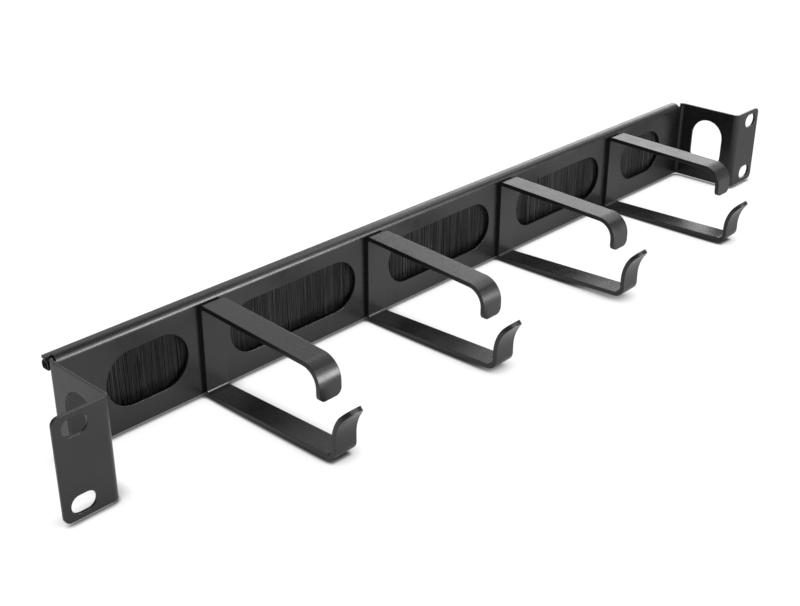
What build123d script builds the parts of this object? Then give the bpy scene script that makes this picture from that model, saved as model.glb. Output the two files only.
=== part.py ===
from build123d import *
import math
import os

# Horizontal cable manager, one rack unit high, for a 19-inch rack.
# Millimetres. X runs to the right, Y to the rear, Z up. The origin is the middle of
# the four rack slots, on the rear face of the ears, which bears on the rack's rails.

# Rack sizes
panel_width = 482.6
panel_height = 43.65
slot_inset = 8.75
slot_pitch_z = 31.75
slot_length = 10.8
slot_height = 7.6
ear_corner_radius = 3.0

# Folded sheet
sheet = 1.2
bend_inside = 1.8
ear_width = 22.85
recess_depth = 37.2

# Hole through each side wall, for cables that leave sideways
wall_hole_width = 20.0
wall_hole_height = 30.0
wall_hole_from_plate = 18.3

# Obround openings in the back plate, with webs between them: a short one at each end,
# and long ones that share what is left
opening_height = 24.4
short_opening = 39.8
web_width = 22.1
end_margin = 23.15

# Top flange, folded to the rear, with a relief notch at each end of its fold
flange_depth = 5.2
notch_inset = 1.9
notch_width_left = 1.5
notch_width_right = 2.6
notch_depth = 1.6
tab_inset = 0.5

# Cable brackets, bent from flat strap and welded to the webs between the openings.
# Each row is one bracket: its name, the angles by which its upper and lower arms lean
# in, as they were bent, and the length of its lip below the lip's curve
brackets = [
    ("far_left", 2.7, 1.5, 7.6),
    ("mid_left", 3.3, 2.0, 7.4),
    ("mid_right", 2.0, 2.7, 8.4),
    ("far_right", 1.7, 1.5, 7.0),
]
bracket_shift = 1.3
strap_width = 11.5
strap = 2.0
bracket_height = 43.1
bracket_drop = 1.9
base_bend_inside = 1.0
arm_reach = 70.9
finger_bend_inside = 7.5
finger_length = 13.8
finger_corner_radius = 3.0
lip_past_finger = 7.7
lip_bend_inside = 3.0
lip_curve_radius = 18.5
lip_curve_angle = 48.5
lip_corner_radius = 5.0

# Strip brush behind the openings: rolled channel, core wire and filaments
brush_end_gap = 4.2
channel_sheet = 0.5
channel_width = 4.4
channel_height = 4.2
channel_mouth = 2.2
channel_crimp = 1.3
channel_roundness = 0.98
core_wire_diameter = 0.9
filament_inset = 3.4
root_inset = 0.3
wire_inset = 1.2
filament_reach = 38.4
filament_gap = 1.2
curtain_depth = 2.2
tuft_pitch = 4.8
tuft_bulge = 0.35
shoulder_height = 4.0
fit_clearance = 0.05
tolerance = 0.01

# Values worked out from the sizes above
bend_outside = bend_inside + sheet
slot_pitch_x = panel_width - 2 * slot_inset
body_width = panel_width - 2 * ear_width
wall_middle = body_width / 2 - sheet / 2
ear_middle_y = -sheet / 2
plate_front = recess_depth - sheet
plate_middle = plate_front + sheet / 2
plate_rear = plate_front + sheet
panel_top = panel_height / 2
end_web = body_width / 2 - end_margin - short_opening - web_width / 2
web_pitch = 2 * end_web / (len(brackets) - 1)
long_opening = web_pitch - web_width
web_middles = [i * web_pitch - end_web for i in range(len(brackets))]
bracket_top = panel_top - bracket_drop
bracket_bottom = bracket_top - bracket_height
notch_end = body_width / 2 - notch_inset
fold_left = -notch_end + notch_width_left
fold_right = notch_end - notch_width_right
flange_left = -body_width / 2 + tab_inset
brush_length = body_width - tab_inset - brush_end_gap
lip_reach = arm_reach + lip_past_finger
channel_middle = plate_rear + channel_width / 2
channel_top = panel_top - sheet
channel_bottom = channel_top - channel_height
core_wire_height = channel_top - channel_width / 2


def obround_through_y(length, height, x, y, z):
    """An obround cutter that runs through the sheet along Y."""
    outline = Plane.XZ.offset(-y) * (Pos(x, z) * SlotOverall(length, height))
    return extrude(outline, sheet, both=True)


def bent_section(plane, points, radius, thickness):
    """A sheet's section: a filleted centre line given the sheet's thickness."""
    line = FilletPolyline(*points, radius=radius)
    return plane * trace(line, line_width=thickness)


def folded_body():
    """Ears, side walls and back plate, as one folded section raised to the panel's height."""
    ear = panel_width / 2
    points = [
        (-ear, ear_middle_y),
        (-wall_middle, ear_middle_y),
        (-wall_middle, plate_middle),
        (wall_middle, plate_middle),
        (wall_middle, ear_middle_y),
        (ear, ear_middle_y),
    ]
    section = bent_section(Plane.XY, points, bend_inside + sheet / 2, sheet)
    body = extrude(section, panel_top, both=True)
    corners = [
        edge
        for edge in body.edges().filter_by(Axis.Y)
        if abs(abs(edge.center().X) - ear) < sheet
    ]
    return fillet(corners, ear_corner_radius)


def top_flange():
    """The flange behind the top fold. A flat tab runs on past the fold's left end."""
    middle_z = panel_top - sheet / 2
    points = [
        (plate_middle, panel_top - bend_outside - sheet),
        (plate_middle, middle_z),
        (plate_front + flange_depth, middle_z),
    ]
    section = bent_section(Plane.YZ, points, bend_inside + sheet / 2, sheet)
    fold = Pos(fold_left, 0, 0) * extrude(section, fold_right - fold_left)
    tab_length = fold_left - flange_left
    tab_depth = flange_depth - bend_outside
    tab_middle_y = plate_front + bend_outside + tab_depth / 2
    tab = Pos(fold_left - tab_length / 2, tab_middle_y, middle_z) * Box(tab_length, tab_depth, sheet)
    return fold + tab


def rack_panel():
    body = folded_body()
    fold_middle = (fold_left + fold_right) / 2
    body -= Pos(fold_middle, plate_middle, panel_top) * Box(
        fold_right - fold_left, 2 * sheet, 2 * bend_outside
    )
    for start, end in ((-notch_end, fold_left), (fold_right, notch_end)):
        body -= Pos((start + end) / 2, plate_middle, panel_top) * Box(
            end - start, 2 * sheet, 2 * notch_depth
        )
    body += top_flange()
    for side in (-1, 1):
        wall_hole = Plane.YZ.offset(side * wall_middle) * (
            Pos(plate_front - wall_hole_from_plate, 0)
            * Rot(0, 0, 90)
            * SlotOverall(wall_hole_height, wall_hole_width)
        )
        body -= extrude(wall_hole, sheet, both=True)
        for z in (-slot_pitch_z / 2, slot_pitch_z / 2):
            body -= obround_through_y(
                slot_length, slot_height, side * slot_pitch_x / 2, ear_middle_y, z
            )
        short_middle = side * (end_web + web_width / 2 + short_opening / 2)
        body -= obround_through_y(short_opening, opening_height, short_middle, plate_middle, 0)
    for x in web_middles[1:]:
        long_middle = x - web_pitch / 2
        body -= obround_through_y(long_opening, opening_height, long_middle, plate_middle, 0)
    return body


def bracket_section(upper_angle, lower_angle, lip_length):
    """Side view of a bracket: finger, upper arm, base, lower arm, lip and the lip's curve."""
    half = strap / 2
    finger_y = plate_front - arm_reach + half
    base_y = plate_front - half
    lip_y = plate_front - lip_reach + half
    base_top = bracket_top - half
    base_bottom = bracket_bottom + half
    finger_top = base_top - (base_y - finger_y) * math.tan(math.radians(upper_angle))
    lip_bottom = base_bottom + (base_y - lip_y) * math.tan(math.radians(lower_angle))
    path = FilletPolyline(
        (finger_y, finger_top - finger_length),
        (finger_y, finger_top),
        (base_y, base_top),
        (base_y, base_bottom),
        (lip_y, lip_bottom),
        (lip_y, lip_bottom + lip_length),
        radius=[
            finger_bend_inside + half,
            base_bend_inside + half,
            base_bend_inside + half,
            lip_bend_inside + half,
        ],
    )
    curve = JernArc(path @ 1, (0, 1), lip_curve_radius + half, lip_curve_angle)
    return Plane.YZ * trace(path + curve, line_width=strap)


def rounded_end(bracket, end, radius):
    """Round the two corners of one end of the strap."""
    corners = [
        edge
        for edge in bracket.edges()
        if edge.geom_type == GeomType.LINE
        and abs(edge.length - strap) < tolerance
        and (edge.center() - end).length < strap_width
    ]
    return fillet(corners, radius)


def cable_bracket(x, *bend_sizes):
    section = bracket_section(*bend_sizes)
    bracket = Pos(x - strap_width / 2, 0, 0) * extrude(section, strap_width)
    end_area = strap * strap_width
    ends = bracket.faces().filter_by(lambda face: abs(face.area - end_area) < tolerance)
    lip_end, finger_end = ends.sort_by(Axis.Y)
    bracket = rounded_end(bracket, lip_end.center(), lip_corner_radius)
    return rounded_end(bracket, finger_end.center(), finger_corner_radius)


def brush_channel():
    """Rolled channel under the flange, closed at the top and crimped in at its mouth."""
    half = channel_width / 2 - channel_sheet / 2
    mouth_half = channel_mouth / 2 + channel_sheet / 2
    top = channel_top - channel_sheet / 2
    points = [
        (channel_middle - mouth_half, channel_bottom),
        (channel_middle - half, channel_bottom + channel_crimp),
        (channel_middle - half, top),
        (channel_middle + half, top),
        (channel_middle + half, channel_bottom + channel_crimp),
        (channel_middle + mouth_half, channel_bottom),
    ]
    top_radius = half * channel_roundness
    radii = [channel_crimp / 2, top_radius, top_radius, channel_crimp / 2]
    line = FilletPolyline(*points, radius=radii)
    section = Plane.YZ * trace(line, line_width=channel_sheet)
    return Pos(flange_left, 0, 0) * extrude(section, brush_length)


def core_wire():
    circle = Plane.YZ * (Pos(channel_middle, core_wire_height) * Circle(core_wire_diameter / 2))
    return Pos(flange_left + wire_inset, 0, 0) * extrude(circle, brush_length - 2 * wire_inset)


def brush_filaments():
    """Filaments folded over the core wire, pinched in the mouth and hanging as a curtain."""
    left = flange_left + filament_inset
    length = brush_length - 2 * filament_inset
    root_left = flange_left + root_inset
    root_length = brush_length - 2 * root_inset
    neck = channel_mouth - 2 * fit_clearance
    root_radius = channel_width / 2 - channel_sheet - fit_clearance
    front = plate_rear + filament_gap
    shoulder = channel_bottom - shoulder_height
    root = Pos(channel_middle, core_wire_height) * Circle(root_radius)
    neck_outline = Polyline(
        (channel_middle - neck / 2, core_wire_height),
        (channel_middle - neck / 2, channel_bottom - fit_clearance),
        (front + tuft_bulge, shoulder),
        (front + curtain_depth - tuft_bulge, shoulder),
        (channel_middle + neck / 2, channel_bottom - fit_clearance),
        (channel_middle + neck / 2, core_wire_height),
        close=True,
    )
    wire_hole = Pos(channel_middle, core_wire_height) * Circle(core_wire_diameter / 2 + fit_clearance)
    neck_section = Plane.YZ * (make_face(neck_outline) - wire_hole)
    top = Pos(left, 0, 0) * extrude(neck_section, length)
    top += Pos(root_left, 0, 0) * extrude(Plane.YZ * (root - wire_hole), root_length)
    count = round(length / tuft_pitch)
    pitch = length / count
    valley_front = front + tuft_bulge
    valley_rear = front + curtain_depth - tuft_bulge
    edges = []
    for i in range(count):
        x0 = left + i * pitch
        x1 = x0 + pitch
        edges.append(ThreePointArc((x0, valley_front), (x0 + pitch / 2, front), (x1, valley_front)))
        edges.append(
            ThreePointArc((x0, valley_rear), (x0 + pitch / 2, front + curtain_depth), (x1, valley_rear))
        )
    edges.append(Line((left, valley_front), (left, valley_rear)))
    edges.append(Line((left + length, valley_front), (left + length, valley_rear)))
    outline = Plane.XY.offset(shoulder) * make_face(edges)
    curtain = extrude(outline, shoulder - (channel_top - filament_reach), dir=(0, 0, -1))
    return top + curtain


def build_parts():
    parts = {"rack_panel": rack_panel()}
    for x, (name, *bend_sizes) in zip(web_middles, brackets):
        parts["cable_bracket_" + name] = cable_bracket(x + bracket_shift, *bend_sizes)
    parts["brush_channel"] = brush_channel()
    parts["brush_core_wire"] = core_wire()
    parts["brush_filaments"] = brush_filaments()
    return parts


os.makedirs("parts", exist_ok=True)
for node, shape in build_parts().items():
    export_step(shape, f"parts/{node}.step")
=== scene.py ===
"""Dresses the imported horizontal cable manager: powder coat, bristles, stage, lamps and camera."""

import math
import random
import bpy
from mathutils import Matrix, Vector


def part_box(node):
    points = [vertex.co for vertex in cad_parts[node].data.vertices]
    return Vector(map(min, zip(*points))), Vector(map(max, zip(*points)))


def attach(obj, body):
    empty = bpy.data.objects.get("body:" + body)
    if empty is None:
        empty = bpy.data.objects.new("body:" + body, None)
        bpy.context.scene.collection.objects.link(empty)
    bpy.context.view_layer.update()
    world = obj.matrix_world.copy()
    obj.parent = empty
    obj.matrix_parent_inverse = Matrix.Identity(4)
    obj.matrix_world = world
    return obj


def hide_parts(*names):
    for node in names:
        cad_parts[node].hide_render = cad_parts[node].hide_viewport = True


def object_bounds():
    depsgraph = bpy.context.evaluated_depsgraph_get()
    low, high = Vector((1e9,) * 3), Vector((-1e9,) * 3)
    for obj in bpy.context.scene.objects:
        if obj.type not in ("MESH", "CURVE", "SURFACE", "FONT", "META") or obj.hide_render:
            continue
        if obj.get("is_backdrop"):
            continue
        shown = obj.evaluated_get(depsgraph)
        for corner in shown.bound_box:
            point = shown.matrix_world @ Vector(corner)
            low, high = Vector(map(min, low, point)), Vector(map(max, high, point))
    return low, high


bl_info = {
    "name": "Horizontal cable manager",
    "version": (1, 0, 0),
    "blender": (4, 5, 0),
    "location": "3D View > Sidebar > Cable manager",
    "description": "Finishes a one-unit cable manager with a strip brush and strap brackets",
    "category": "Object",
}

import bmesh
import bpy
from bpy.props import FloatProperty, FloatVectorProperty, IntProperty, PointerProperty
from bpy.types import Operator, Panel, PropertyGroup
from mathutils import Matrix, Vector

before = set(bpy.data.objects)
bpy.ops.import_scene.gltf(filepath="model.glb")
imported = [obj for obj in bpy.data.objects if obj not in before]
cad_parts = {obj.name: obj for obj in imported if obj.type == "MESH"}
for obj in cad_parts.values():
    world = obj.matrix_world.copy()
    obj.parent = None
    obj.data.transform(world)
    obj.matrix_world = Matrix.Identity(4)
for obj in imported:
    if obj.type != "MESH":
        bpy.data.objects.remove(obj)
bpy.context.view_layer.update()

MM = 0.001
BODY = "root"
BRACKETS = ["far_left", "mid_left", "mid_right", "far_right"]

# The brush: how its bristles sit in the channel, and how deep the curtain is
CURTAIN_DEPTH = 2.0 * MM
CURTAIN_INSET = 3.1 * MM
NECK_OVERLAP = 0.8 * MM
ROOT_INSET = 0.1 * MM
ROOT_RADIUS = 1.65 * MM
NECK_HALF_WIDTH = 1.04 * MM
WIRE_GAP = 0.05 * MM

# One bristle's mesh, and how the bristles of a row stray from an even comb
BRISTLE_SIDES = 3
BRISTLE_JOINTS = 3
LEAN_WAVES = (31 * MM, 13 * MM, 5.3 * MM)
DEPTH_WAVES = (17 * MM, 4.8 * MM)
PLACE_SPREAD = 0.35
LEAN_SPREAD = 0.16
BOW_SPREAD = 0.12 * MM
ROW_SPREAD = 0.12 * MM
WAVE_DEPTH = 0.2 * MM
END_SPREAD = 0.08 * MM
NECK_SHARE = 0.86
BRISTLE_SEED = 11

# The softboxes: name, degrees round from +X, degrees up, distance in metres, size in metres
SOFTBOXES = (
    ("key_lamp", 29, 13, 1.5, (0.95, 0.7)),
    ("front_lamp", 292, 25, 1.4, (1.3, 1.3)),
    ("accent_lamp", 298, 12, 1.3, (0.44, 0.54)),
    ("high_lamp", 12, 44, 1.5, (1.25, 0.7)),
    ("fill_lamp", 70, 36, 1.6, (1.1, 1.2)),
)

# The floor's half width, and its shades: lowest and highest openness, and the darkest tone
FLOOR_REACH = 6.0
SHADE_SAMPLES = 16
SHADE_UNDER = (0.58, 0.87, 0.12)
SHADE_BEHIND = (0.5, 0.96, 0.2)
SHADE_AROUND = (0.4, 1.0, 0.3)
BEHIND_REACH = 3
AROUND_REACH = 9

# The sky that the shade behind the object sees, and where the reflected floor fades
SHADOW_SKY = (-0.45, -0.6, 0.66)
FADE_TO_BACK = (-0.17, -0.05)
FADE_TO_RIGHT = (0.05, 0.3)
RIGHT_SHARE = 0.6


class PowderCoatSettings(PropertyGroup):
    """The black powder coat on the panel and the brackets."""

    colour: FloatVectorProperty(
        name="Colour",
        description="Colour of the powder coat",
        subtype="COLOR",
        default=(0.014, 0.014, 0.0145),
        min=0.0,
        max=1.0,
    )
    grain: FloatProperty(
        name="Grain",
        description="Width of one grain of the coat's texture",
        default=0.45 * MM,
        unit="LENGTH",
    )
    grain_depth: FloatProperty(
        name="Grain depth",
        description="Height of the grain above its hollows",
        default=0.02 * MM,
        unit="LENGTH",
    )
    flow: FloatProperty(
        name="Flow",
        description="Width of the broad waves in which the powder flowed out",
        default=9 * MM,
        unit="LENGTH",
    )
    edge_radius: FloatProperty(
        name="Edge radius",
        description="Radius that the coat gives the sheet's cut edges",
        default=0.4 * MM,
        unit="LENGTH",
    )
    roughness: FloatProperty(
        name="Roughness",
        description="Roughness of the coat between its grains",
        default=0.27,
        subtype="FACTOR",
        min=0.0,
        max=1.0,
    )


class BrushSettings(PropertyGroup):
    """The strip brush behind the openings."""

    colour: FloatVectorProperty(
        name="Bristle colour",
        description="Colour of the nylon bristles",
        subtype="COLOR",
        default=(0.014, 0.014, 0.0145),
        min=0.0,
        max=1.0,
    )
    diameter: FloatProperty(
        name="Bristle diameter",
        description="Diameter of one bristle",
        default=0.4 * MM,
        unit="LENGTH",
    )
    layers: IntProperty(
        name="Layers",
        description="Number of rows of bristles, one behind another",
        default=6,
        min=1,
    )
    spacing: FloatProperty(
        name="Spacing",
        description="Distance between two bristles in a row",
        default=0.36 * MM,
        unit="LENGTH",
    )
    lean: FloatProperty(
        name="Lean",
        description="Most that the bristles lean along the strip",
        default=math.radians(2.2),
        unit="ROTATION",
    )
    uneven: FloatProperty(
        name="Uneven ends",
        description="Difference in length between the bristles' cut ends",
        default=0.5 * MM,
        unit="LENGTH",
    )
    channel_colour: FloatVectorProperty(
        name="Channel colour",
        description="Colour of the rolled channel's paint",
        subtype="COLOR",
        default=(0.007, 0.007, 0.0072),
        min=0.0,
        max=1.0,
    )
    wire_colour: FloatVectorProperty(
        name="Wire colour",
        description="Colour of the galvanised core wire",
        subtype="COLOR",
        default=(0.55, 0.56, 0.57),
        min=0.0,
        max=1.0,
    )


class StageSettings(PropertyGroup):
    """The white floor, the lamps and the camera."""

    camera_place: FloatVectorProperty(
        name="Camera",
        description="Where the camera stands",
        subtype="TRANSLATION",
        unit="LENGTH",
        default=(-0.422267, -0.331219, 0.243474),
    )
    camera_forward: FloatVectorProperty(
        name="Forward",
        description="Direction in which the camera looks",
        subtype="DIRECTION",
        default=(0.655013, 0.611768, -0.443507),
    )
    camera_up: FloatVectorProperty(
        name="Up",
        description="Direction of the picture's upper edge",
        subtype="DIRECTION",
        default=(0.321883, 0.305119, 0.896266),
    )
    lens: FloatProperty(
        name="Lens",
        description="Focal length for a sensor 36 mm wide",
        default=55.94,
        unit="CAMERA",
    )
    floor_glow: FloatProperty(
        name="Floor glow",
        description="White that the floor shows without any lamp",
        default=0.95,
        min=0.0,
    )
    floor_albedo: FloatProperty(
        name="Floor albedo",
        description="White that the floor shows for the light that falls on it",
        default=0.15,
        min=0.0,
    )
    floor_front: FloatProperty(
        name="Floor in front",
        description="How bright the floor before the object is in reflections",
        default=1.45,
        min=0.0,
    )
    floor_back: FloatProperty(
        name="Floor behind",
        description="How bright the floor under the object and behind it is in reflections",
        default=0.84,
        min=0.0,
    )
    contact_shadow: FloatProperty(
        name="Contact shadow",
        description="How far the darkest part of the contact shadow reaches from the object",
        default=2.8 * MM,
        unit="LENGTH",
    )
    room_light: FloatProperty(
        name="Room light",
        description="Strength of the even light of the room",
        default=0.38,
        min=0.0,
    )
    key_power: FloatProperty(
        name="Key lamp",
        description="Power of the broad low softbox behind on the right",
        default=5.0,
        min=0.0,
        unit="POWER",
    )
    high_power: FloatProperty(
        name="High lamp",
        description="Power of the softbox above the key lamp",
        default=4.3,
        min=0.0,
        unit="POWER",
    )
    fill_power: FloatProperty(
        name="Fill lamp",
        description="Power of the large pale softbox behind",
        default=2.5,
        min=0.0,
        unit="POWER",
    )
    front_power: FloatProperty(
        name="Front lamp",
        description="Power of the tall softbox in front",
        default=9.0,
        min=0.0,
        unit="POWER",
    )
    accent_power: FloatProperty(
        name="Accent lamp",
        description="Power of the small bright lamp low in front",
        default=10.5,
        min=0.0,
        unit="POWER",
    )


def finish_node(name, material):
    """Gives a CAD node its material."""
    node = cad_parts[name]
    node.data.materials.clear()
    node.data.materials.append(material)


def new_group(name, inputs, outputs):
    """A shader node group with its sockets, and its input and output nodes."""
    group = bpy.data.node_groups.new(name, "ShaderNodeTree")
    for label, kind, value in inputs:
        socket = group.interface.new_socket(label, in_out="INPUT", socket_type=kind)
        if value is not None:
            socket.default_value = value
    for label, kind in outputs:
        group.interface.new_socket(label, in_out="OUTPUT", socket_type=kind)
    return group, group.nodes.new("NodeGroupInput"), group.nodes.new("NodeGroupOutput")


def math_node(nodes, links, operation, first, second=None, third=None):
    """A Math node whose inputs are sockets or numbers."""
    node = nodes.new("ShaderNodeMath")
    node.operation = operation
    for socket, value in zip(node.inputs, (first, second, third)):
        if value is None:
            continue
        if isinstance(value, (int, float)):
            socket.default_value = value
        else:
            links.new(value, socket)
    return node.outputs[0]


def noise_node(nodes, links, vector, scale, detail, roughness):
    node = nodes.new("ShaderNodeTexNoise")
    node.inputs["Detail"].default_value = detail
    node.inputs["Roughness"].default_value = roughness
    if isinstance(scale, (int, float)):
        node.inputs["Scale"].default_value = scale
    else:
        links.new(scale, node.inputs["Scale"])
    links.new(vector, node.inputs["Vector"])
    return node.outputs["Fac"]


def map_range(nodes, links, value, from_min, from_max, to_min, to_max):
    node = nodes.new("ShaderNodeMapRange")
    for name, number in (
        ("From Min", from_min),
        ("From Max", from_max),
        ("To Min", to_min),
        ("To Max", to_max),
    ):
        node.inputs[name].default_value = number
    links.new(value, node.inputs["Value"])
    return node.outputs["Result"]


def powder_group():
    """Grain and flow of a powder coat: a height, a tone and a gloss mask."""
    name = "Powder texture"
    if name in bpy.data.node_groups:
        return bpy.data.node_groups[name]
    group, given, made = new_group(
        name,
        [
            ("Vector", "NodeSocketVector", None),
            ("Grain", "NodeSocketFloat", 0.45 * MM),
            ("Flow", "NodeSocketFloat", 9 * MM),
        ],
        [
            ("Height", "NodeSocketFloat"),
            ("Tone", "NodeSocketFloat"),
            ("Gloss", "NodeSocketFloat"),
        ],
    )
    nodes, links = group.nodes, group.links
    vector = given.outputs["Vector"]
    grain_scale = math_node(nodes, links, "DIVIDE", 1.0, given.outputs["Grain"])
    flow_scale = math_node(nodes, links, "DIVIDE", 1.0, given.outputs["Flow"])
    grain = noise_node(nodes, links, vector, grain_scale, 2.0, 0.6)
    flow = noise_node(nodes, links, vector, flow_scale, 2.0, 0.5)
    links.new(grain, made.inputs["Height"])
    links.new(flow, made.inputs["Tone"])
    pits = math_node(nodes, links, "MULTIPLY_ADD", grain, 0.6, flow)
    links.new(map_range(nodes, links, pits, 0.5, 1.1, 0.0, 1.0), made.inputs["Gloss"])
    return group


def soft_edge_group():
    """The normal of a surface whose sharp edges are rounded to a radius."""
    name = "Soft edges"
    if name in bpy.data.node_groups:
        return bpy.data.node_groups[name]
    group, given, made = new_group(
        name,
        [("Radius", "NodeSocketFloat", 0.35 * MM)],
        [("Normal", "NodeSocketVector")],
    )
    bevel = group.nodes.new("ShaderNodeBevel")
    bevel.samples = 8
    group.links.new(given.outputs["Radius"], bevel.inputs["Radius"])
    group.links.new(bevel.outputs["Normal"], made.inputs["Normal"])
    return group


def placed_group(nodes, group, **values):
    node = nodes.new("ShaderNodeGroup")
    node.node_tree = group
    for name, value in values.items():
        node.inputs[name.replace("_", " ").capitalize()].default_value = value
    return node


def new_material(name):
    material = bpy.data.materials.new(name)
    material.use_nodes = True
    nodes, links = material.node_tree.nodes, material.node_tree.links
    nodes.clear()
    output = nodes.new("ShaderNodeOutputMaterial")
    shader = nodes.new("ShaderNodeBsdfPrincipled")
    links.new(shader.outputs["BSDF"], output.inputs["Surface"])
    coordinates = nodes.new("ShaderNodeTexCoord")
    return material, nodes, links, shader, coordinates.outputs["Object"]


def tone_mix(nodes, links, mask, colour, darker, lighter):
    """The colour, from darker to lighter as the mask goes from 0 to 1."""
    mix = nodes.new("ShaderNodeMix")
    mix.data_type = "RGBA"
    links.new(mask, mix.inputs["Factor"])
    mix.inputs["A"].default_value = (*(c * darker for c in colour), 1.0)
    mix.inputs["B"].default_value = (*(c * lighter for c in colour), 1.0)
    return mix.outputs["Result"]


def powder_coat():
    """Black powder coat: fine grain, satin gloss and softly rounded cut edges."""
    name = "black_powder_coat"
    if name in bpy.data.materials:
        return bpy.data.materials[name]
    coat = bpy.context.scene.powder_coat
    material, nodes, links, shader, vector = new_material(name)
    texture = placed_group(nodes, powder_group(), grain=coat.grain, flow=coat.flow)
    links.new(vector, texture.inputs["Vector"])
    links.new(
        tone_mix(nodes, links, texture.outputs["Tone"], coat.colour, 0.85, 1.15),
        shader.inputs["Base Color"],
    )
    smooth, rough = coat.roughness - 0.05, coat.roughness + 0.07
    links.new(
        map_range(nodes, links, texture.outputs["Gloss"], 0.0, 1.0, smooth, rough),
        shader.inputs["Roughness"],
    )
    edges = placed_group(nodes, soft_edge_group(), radius=coat.edge_radius)
    bump = nodes.new("ShaderNodeBump")
    bump.inputs["Distance"].default_value = coat.grain_depth
    links.new(texture.outputs["Height"], bump.inputs["Height"])
    links.new(edges.outputs["Normal"], bump.inputs["Normal"])
    links.new(bump.outputs["Normal"], shader.inputs["Normal"])
    return material


def channel_coat():
    """Smooth black paint on the brush's rolled channel."""
    brush = bpy.context.scene.strip_brush
    material, nodes, links, shader, vector = new_material("black_channel_paint")
    shader.inputs["Specular IOR Level"].default_value = 0.25
    texture = placed_group(nodes, powder_group(), grain=1.4 * MM, flow=14 * MM)
    links.new(vector, texture.inputs["Vector"])
    links.new(
        tone_mix(nodes, links, texture.outputs["Tone"], brush.channel_colour, 0.8, 1.2),
        shader.inputs["Base Color"],
    )
    links.new(
        map_range(nodes, links, texture.outputs["Gloss"], 0.0, 1.0, 0.3, 0.42),
        shader.inputs["Roughness"],
    )
    edges = placed_group(nodes, soft_edge_group(), radius=0.15 * MM)
    bump = nodes.new("ShaderNodeBump")
    bump.inputs["Distance"].default_value = 0.01 * MM
    links.new(texture.outputs["Height"], bump.inputs["Height"])
    links.new(edges.outputs["Normal"], bump.inputs["Normal"])
    links.new(bump.outputs["Normal"], shader.inputs["Normal"])
    return material


def galvanised_wire():
    """Galvanised steel with fine drawing marks along the wire."""
    brush = bpy.context.scene.strip_brush
    material, nodes, links, shader, vector = new_material("galvanised_wire")
    shader.inputs["Metallic"].default_value = 1.0
    mapping = nodes.new("ShaderNodeMapping")
    mapping.inputs["Scale"].default_value = (0.05, 1.0, 1.0)
    links.new(vector, mapping.inputs["Vector"])
    marks = noise_node(nodes, links, mapping.outputs["Vector"], 1 / (0.12 * MM), 2.0, 0.6)
    links.new(
        tone_mix(nodes, links, marks, brush.wire_colour, 0.75, 1.1), shader.inputs["Base Color"]
    )
    links.new(map_range(nodes, links, marks, 0.3, 0.7, 0.3, 0.5), shader.inputs["Roughness"])
    return material


def bristle_nylon():
    """Black nylon: lighter and darker stripes along each bristle's length, which are painted sheen
    and painted shade, with a slight real sheen from the surface's roughness.
    """
    brush = bpy.context.scene.strip_brush
    material, nodes, links, shader, vector = new_material("black_bristle_nylon")
    mapping = nodes.new("ShaderNodeMapping")
    mapping.inputs["Scale"].default_value = (1.0, 1.0, 0.03)
    links.new(vector, mapping.inputs["Vector"])
    sheen_and_shade_streaks = noise_node(nodes, links, mapping.outputs["Vector"], 1 / (0.8 * MM), 3.0, 0.6)
    # Painted sheen and shade: noise stripes along the bristles take their colour from a fifth of it
    # to more than twice it.
    links.new(tone_mix(nodes, links, sheen_and_shade_streaks, brush.colour, 0.2, 2.4), shader.inputs["Base Color"])
    links.new(map_range(nodes, links, sheen_and_shade_streaks, 0.35, 0.65, 0.34, 0.5), shader.inputs["Roughness"])
    return material


def single_bristle(radius, length):
    """One straight bristle, three-sided, with its root at the origin and its end below."""
    bm = bmesh.new()
    bmesh.ops.create_circle(bm, cap_ends=True, segments=BRISTLE_SIDES, radius=radius)
    face = bm.faces[:][0]
    for _ in range(BRISTLE_JOINTS):
        made = bmesh.ops.extrude_face_region(bm, geom=[face])["geom"]
        verts = [item for item in made if isinstance(item, bmesh.types.BMVert)]
        bmesh.ops.translate(bm, verts=verts, vec=(0, 0, -length / BRISTLE_JOINTS))
        if face.is_valid and len(bm.faces) > 4:
            bmesh.ops.delete(bm, geom=[face], context="FACES_ONLY")
        face = next(item for item in made if isinstance(item, bmesh.types.BMFace))
    bmesh.ops.recalc_face_normals(bm, faces=bm.faces[:])
    mesh = bpy.data.meshes.new("bristle_pattern")
    bm.to_mesh(mesh)
    bm.free()
    return mesh


def wave(dice, *lengths):
    """A smooth wave along the strip, from -1 to 1, made of sines of these lengths."""
    sines = [(math.tau / length, dice.uniform(0, math.tau)) for length in lengths]
    return lambda x: sum(math.sin(x * rate + start) for rate, start in sines) / len(sines)


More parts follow.
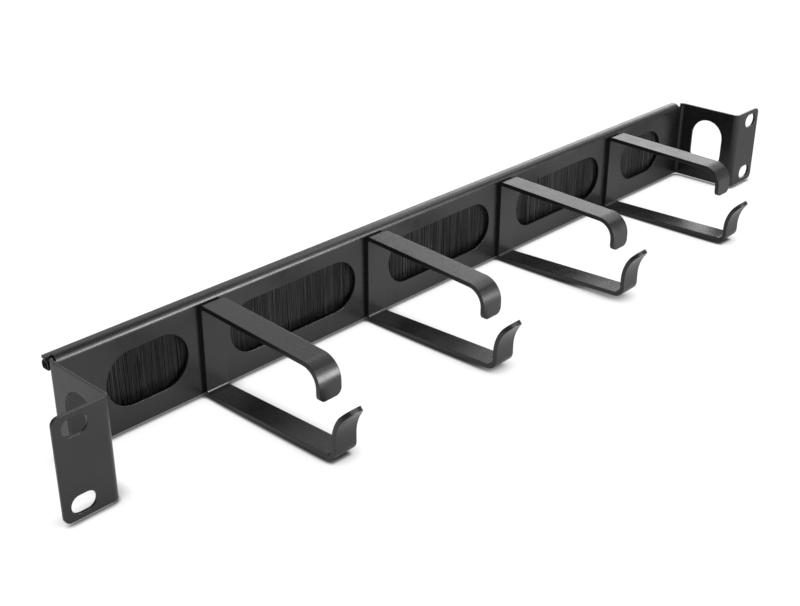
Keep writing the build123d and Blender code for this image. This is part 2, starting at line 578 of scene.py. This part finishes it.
def bristle_row(pattern, row_y, length, low, high, dice):
    """One row of bristles, which lean and part in smooth waves along the strip."""
    brush = bpy.context.scene.strip_brush
    lean = wave(dice, *LEAN_WAVES)
    depth = wave(dice, *DEPTH_WAVES)
    most = math.tan(brush.lean) * length
    count = round((high.x - low.x) / brush.spacing)
    root_z = low.z + length
    bm = bmesh.new()
    for k in range(count):
        stray = dice.uniform(-PLACE_SPREAD, PLACE_SPREAD)
        root_x = low.x + (k + 0.5 + stray) * (high.x - low.x) / count
        sway = most * (lean(root_x) + dice.gauss(0.0, LEAN_SPREAD))
        bow = dice.gauss(0.0, BOW_SPREAD)
        own_y = row_y + dice.uniform(-ROW_SPREAD, ROW_SPREAD)
        shift_y = WAVE_DEPTH * depth(root_x) + dice.gauss(0.0, END_SPREAD)
        trim = dice.uniform(0.0, brush.uneven)
        turn = Matrix.Rotation(dice.uniform(0, math.tau), 3, "Z")
        start = len(bm.verts)
        bm.from_mesh(pattern)
        bm.verts.ensure_lookup_table()
        for vert in bm.verts[start:]:
            side = turn @ vert.co
            t = -vert.co.z / length
            x = root_x + side.x + sway * t + bow * math.sin(math.pi * t)
            y = own_y * min(1.0, NECK_SHARE + t) + shift_y * t + side.y
            vert.co = (
                min(max(x, low.x), high.x),
                (low.y + high.y) / 2 + y,
                root_z + vert.co.z + trim * t,
            )
    for face in bm.faces:
        face.smooth = True
    mesh = bpy.data.meshes.new("bristle_row")
    bm.to_mesh(mesh)
    bm.free()
    return mesh


def bristle_ends():
    """The bristles' cut ends: black points close together that hardly shine, made darker than the
    bristles by painted shade, which is darkest in the gaps between the points.
    """
    brush = bpy.context.scene.strip_brush
    material, nodes, links, shader, vector = new_material("black_bristle_ends")
    shader.inputs["Roughness"].default_value = 0.7
    shader.inputs["Specular IOR Level"].default_value = 0.1
    points_and_gap_shade = nodes.new("ShaderNodeTexVoronoi")
    points_and_gap_shade.inputs["Scale"].default_value = 1 / brush.diameter
    links.new(vector, points_and_gap_shade.inputs["Vector"])
    # Painted shade: the colour falls from three fifths of the bristles' colour at each point's
    # middle towards a tenth of it in the gaps.
    links.new(
        tone_mix(nodes, links, points_and_gap_shade.outputs["Distance"], brush.colour, 0.6, 0.1),
        shader.inputs["Base Color"],
    )
    return material


def bristle_roots():
    """The bristles' folded middles, which fill the channel round the core wire."""
    low, high = (Vector(corner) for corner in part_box("brush_channel"))
    wire_low, wire_high = (Vector(corner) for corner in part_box("brush_core_wire"))
    wire = (wire_low + wire_high) / 2
    start, end = low.x + ROOT_INSET, high.x - ROOT_INSET
    mouth_z = low.z + WIRE_GAP - wire.z
    bm = bmesh.new()
    outer = bmesh.ops.create_circle(bm, segments=28, radius=ROOT_RADIUS)["verts"]
    for vert in outer:
        if vert.co.y < 0 and abs(vert.co.x) < NECK_HALF_WIDTH:
            vert.co.y = mouth_z
    bmesh.ops.create_circle(bm, segments=28, radius=(wire_high.z - wire_low.z) / 2 + WIRE_GAP)
    bmesh.ops.bridge_loops(bm, edges=bm.edges[:])
    upright = Matrix(((0, 0, 1), (1, 0, 0), (0, 1, 0))).to_4x4()
    upright.translation = (start, wire.y, wire.z)
    bmesh.ops.transform(bm, matrix=upright, verts=bm.verts[:])
    made = bmesh.ops.extrude_face_region(bm, geom=bm.faces[:], use_keep_orig=True)["geom"]
    moved = [item for item in made if isinstance(item, bmesh.types.BMVert)]
    bmesh.ops.translate(bm, verts=moved, vec=(end - start, 0, 0))
    bmesh.ops.recalc_face_normals(bm, faces=bm.faces[:])
    mesh = bpy.data.meshes.new("bristle_roots")
    bm.to_mesh(mesh)
    bm.free()
    piece = bpy.data.objects.new("bristle_roots", mesh)
    bpy.context.scene.collection.objects.link(piece)
    mesh.materials.append(bristle_ends())
    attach(piece, BODY)
    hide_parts("brush_filaments")
    return piece


def bristle_curtain():
    """The curtain of bristles that hangs from the channel, row behind row."""
    brush = bpy.context.scene.strip_brush
    low, high = (Vector(corner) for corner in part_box("brush_filaments"))
    low.x += CURTAIN_INSET
    high.x -= CURTAIN_INSET
    root_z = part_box("brush_channel")[0][2] + NECK_OVERLAP
    length = root_z - low.z
    pattern = single_bristle(brush.diameter / 2, length)
    depth = CURTAIN_DEPTH - brush.diameter
    dice = random.Random(BRISTLE_SEED)
    curtain = bmesh.new()
    for row in range(brush.layers):
        row_y = depth * ((row + 0.5) / brush.layers - 0.5)
        mesh = bristle_row(pattern, row_y, length, low, high, dice)
        curtain.from_mesh(mesh)
        bpy.data.meshes.remove(mesh)
    mesh = bpy.data.meshes.new("bristle_curtain")
    curtain.to_mesh(mesh)
    curtain.free()
    bpy.data.meshes.remove(pattern)
    piece = bpy.data.objects.new("bristle_curtain", mesh)
    bpy.context.scene.collection.objects.link(piece)
    mesh.materials.append(bristle_nylon())
    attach(piece, BODY)
    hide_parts("brush_filaments")
    return piece


def aim(thing, place, forward, up):
    """Stands a lamp or the camera at a place, looking forward."""
    back = -Vector(forward).normalized()
    right = Vector(up).cross(back).normalized()
    turned = Matrix((right, back.cross(right), back)).transposed().to_4x4()
    thing.matrix_world = Matrix.Translation(place) @ turned


def softbox(name, azimuth, elevation, distance, size, power):
    """A soft lamp that looks at the origin, placed by degrees round from +X and degrees up."""
    lamp = bpy.data.lights.new(name, "AREA")
    lamp.shape = "RECTANGLE"
    lamp.size, lamp.size_y = size
    lamp.energy = power
    thing = bpy.data.objects.new(name, lamp)
    bpy.context.scene.collection.objects.link(thing)
    level = math.cos(math.radians(elevation))
    place = distance * Vector(
        (
            level * math.cos(math.radians(azimuth)),
            level * math.sin(math.radians(azimuth)),
            math.sin(math.radians(elevation)),
        )
    )
    aim(thing, place, -place, (0, 0, 1))
    return thing


def open_sky(nodes, links, reach, low, high, darkest, towards=None):
    """Painted shade on the floor: darkest where its open sky is low or less, 1 where high or more.
    """
    sky = nodes.new("ShaderNodeAmbientOcclusion")
    sky.samples = SHADE_SAMPLES
    sky.inputs["Distance"].default_value = reach
    if towards:
        leaning = nodes.new("ShaderNodeCombineXYZ")
        for socket, value in zip(leaning.inputs, towards):
            socket.default_value = value
        links.new(leaning.outputs[0], sky.inputs["Normal"])
    return map_range(nodes, links, sky.outputs["AO"], low, high, darkest, 1.0)


def mix_shaders(nodes, links, factor, first, second):
    mix = nodes.new("ShaderNodeMixShader")
    links.new(factor, mix.inputs["Fac"])
    links.new(first, mix.inputs[1])
    links.new(second, mix.inputs[2])
    return mix.outputs["Shader"]


def floor_material(stage):
    """White floor that keeps the object's shadow, most of it painted shade from the floor's open
    sky round the object, for the camera and for reflections. In reflections the floor glows:
    brighter far in front than near the object and behind it, and dimmer to the right.
    """
    material = bpy.data.materials.new("white_floor")
    material.use_nodes = True
    nodes, links = material.node_tree.nodes, material.node_tree.links
    nodes.clear()
    output = nodes.new("ShaderNodeOutputMaterial")
    path = nodes.new("ShaderNodeLightPath")
    place = nodes.new("ShaderNodeSeparateXYZ")
    links.new(nodes.new("ShaderNodeTexCoord").outputs["Object"], place.inputs[0])
    reach = stage.contact_shadow
    under = open_sky(nodes, links, reach, *SHADE_UNDER)
    behind = open_sky(nodes, links, BEHIND_REACH * reach, *SHADE_BEHIND, SHADOW_SKY)
    shade = math_node(nodes, links, "MULTIPLY", under, behind)
    glow = nodes.new("ShaderNodeEmission")
    links.new(math_node(nodes, links, "MULTIPLY", shade, stage.floor_glow), glow.inputs["Strength"])
    lit = nodes.new("ShaderNodeBsdfDiffuse")
    links.new(math_node(nodes, links, "MULTIPLY", shade, stage.floor_albedo), lit.inputs["Color"])
    seen = nodes.new("ShaderNodeAddShader")
    links.new(glow.outputs["Emission"], seen.inputs[0])
    links.new(lit.outputs["BSDF"], seen.inputs[1])
    across = map_range(
        nodes, links, place.outputs["Y"], *FADE_TO_BACK, stage.floor_front, stage.floor_back
    )
    along = map_range(nodes, links, place.outputs["X"], *FADE_TO_RIGHT, 1.0, RIGHT_SHARE)
    around = open_sky(nodes, links, AROUND_REACH * reach, *SHADE_AROUND)
    bright = math_node(nodes, links, "MULTIPLY", across, along)
    reflected = nodes.new("ShaderNodeEmission")
    links.new(math_node(nodes, links, "MULTIPLY", around, bright), reflected.inputs["Strength"])
    plain = nodes.new("ShaderNodeBsdfDiffuse").outputs["BSDF"]
    through = math_node(
        nodes, links, "MAXIMUM", path.outputs["Is Glossy Ray"], path.outputs["Is Transmission Ray"]
    )
    shader = mix_shaders(nodes, links, through, plain, reflected.outputs["Emission"])
    shader = mix_shaders(
        nodes, links, path.outputs["Is Camera Ray"], shader, seen.outputs["Shader"]
    )
    links.new(shader, output.inputs["Surface"])
    return material


def white_room(stage):
    """Even room light, and white where the camera looks past the floor."""
    world = bpy.data.worlds.new("white_room")
    bpy.context.scene.world = world
    world.use_nodes = True
    nodes, links = world.node_tree.nodes, world.node_tree.links
    nodes.clear()
    output = nodes.new("ShaderNodeOutputWorld")
    light = nodes.new("ShaderNodeBackground")
    light.inputs["Strength"].default_value = stage.room_light
    white = nodes.new("ShaderNodeBackground")
    white.inputs["Color"].default_value = (1.0, 1.0, 1.0, 1.0)
    path = nodes.new("ShaderNodeLightPath")
    seen = math_node(
        nodes, links, "MAXIMUM", path.outputs["Is Camera Ray"], path.outputs["Is Transmission Ray"]
    )
    shader = mix_shaders(
        nodes, links, seen, light.outputs["Background"], white.outputs["Background"]
    )
    links.new(shader, output.inputs["Surface"])


class CABLEMANAGER_OT_rack_panel(Operator):
    """Gives the folded rack panel its powder coat"""

    bl_idname = "cablemanager.rack_panel"
    bl_label = "Rack panel"

    def execute(self, context):
        finish_node("rack_panel", powder_coat())
        return {"FINISHED"}


class CABLEMANAGER_OT_cable_brackets(Operator):
    """Gives the four strap brackets their powder coat"""

    bl_idname = "cablemanager.cable_brackets"
    bl_label = "Cable brackets"

    def execute(self, context):
        for place in BRACKETS:
            finish_node("cable_bracket_" + place, powder_coat())
        return {"FINISHED"}


class CABLEMANAGER_OT_brush_channel(Operator):
    """Paints the strip brush's channel and galvanises its core wire"""

    bl_idname = "cablemanager.brush_channel"
    bl_label = "Brush channel and wire"

    def execute(self, context):
        finish_node("brush_channel", channel_coat())
        finish_node("brush_core_wire", galvanised_wire())
        return {"FINISHED"}


class CABLEMANAGER_OT_bristles(Operator):
    """Fills the channel with the bristles' roots and hangs the curtain of bristles from it"""

    bl_idname = "cablemanager.bristles"
    bl_label = "Bristles"

    def execute(self, context):
        bristle_roots()
        bristle_curtain()
        return {"FINISHED"}


class CABLEMANAGER_OT_stage(Operator):
    """Lays the white floor and sets up the lamps and the camera"""

    bl_idname = "cablemanager.stage"
    bl_label = "Stage"

    def execute(self, context):
        stage = context.scene.stage
        floor_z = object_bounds()[0][2]
        bm = bmesh.new()
        bmesh.ops.create_grid(bm, x_segments=1, y_segments=1, size=FLOOR_REACH)
        bmesh.ops.translate(bm, verts=bm.verts[:], vec=(0, 0, floor_z))
        mesh = bpy.data.meshes.new("floor")
        bm.to_mesh(mesh)
        bm.free()
        floor = bpy.data.objects.new("floor", mesh)
        context.scene.collection.objects.link(floor)
        mesh.materials.append(floor_material(stage))
        floor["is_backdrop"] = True
        white_room(stage)
        powers = (
            stage.key_power,
            stage.front_power,
            stage.accent_power,
            stage.high_power,
            stage.fill_power,
        )
        for lamp, power in zip(SOFTBOXES, powers):
            softbox(*lamp, power)
        camera = bpy.data.cameras.new("camera")
        camera.lens = stage.lens
        camera.sensor_fit = "HORIZONTAL"
        camera.sensor_width = 36.0
        camera.clip_start = 0.01
        thing = bpy.data.objects.new("camera", camera)
        context.scene.collection.objects.link(thing)
        aim(thing, Vector(stage.camera_place), stage.camera_forward, stage.camera_up)
        context.scene.camera = thing
        context.scene.view_settings.view_transform = "Standard"
        return {"FINISHED"}


PIECES = [
    CABLEMANAGER_OT_rack_panel,
    CABLEMANAGER_OT_cable_brackets,
    CABLEMANAGER_OT_brush_channel,
    CABLEMANAGER_OT_bristles,
    CABLEMANAGER_OT_stage,
]


class CABLEMANAGER_PT_sidebar(Panel):
    """Lists the cable manager's pieces and their settings"""

    bl_label = "Cable manager"
    bl_idname = "CABLEMANAGER_PT_sidebar"
    bl_space_type = "VIEW_3D"
    bl_region_type = "UI"
    bl_category = "Cable manager"

    def draw(self, context):
        for piece in PIECES:
            self.layout.operator(piece.bl_idname)
        for kind in SETTINGS:
            settings = getattr(context.scene, kind)
            box = self.layout.box()
            for name in settings.__annotations__:
                box.prop(settings, name)


SETTINGS = {
    "powder_coat": PowderCoatSettings,
    "strip_brush": BrushSettings,
    "stage": StageSettings,
}


def register():
    for kind in (*SETTINGS.values(), *PIECES, CABLEMANAGER_PT_sidebar):
        bpy.utils.register_class(kind)
    for name, kind in SETTINGS.items():
        setattr(bpy.types.Scene, name, PointerProperty(type=kind))


def unregister():
    for name in SETTINGS:
        delattr(bpy.types.Scene, name)
    for kind in (CABLEMANAGER_PT_sidebar, *reversed(PIECES), *reversed(SETTINGS.values())):
        bpy.utils.unregister_class(kind)


def main():
    register()
    bpy.ops.cablemanager.rack_panel()
    bpy.ops.cablemanager.cable_brackets()
    bpy.ops.cablemanager.brush_channel()
    bpy.ops.cablemanager.bristles()
    bpy.ops.cablemanager.stage()


if __name__ == "__main__":
    main()
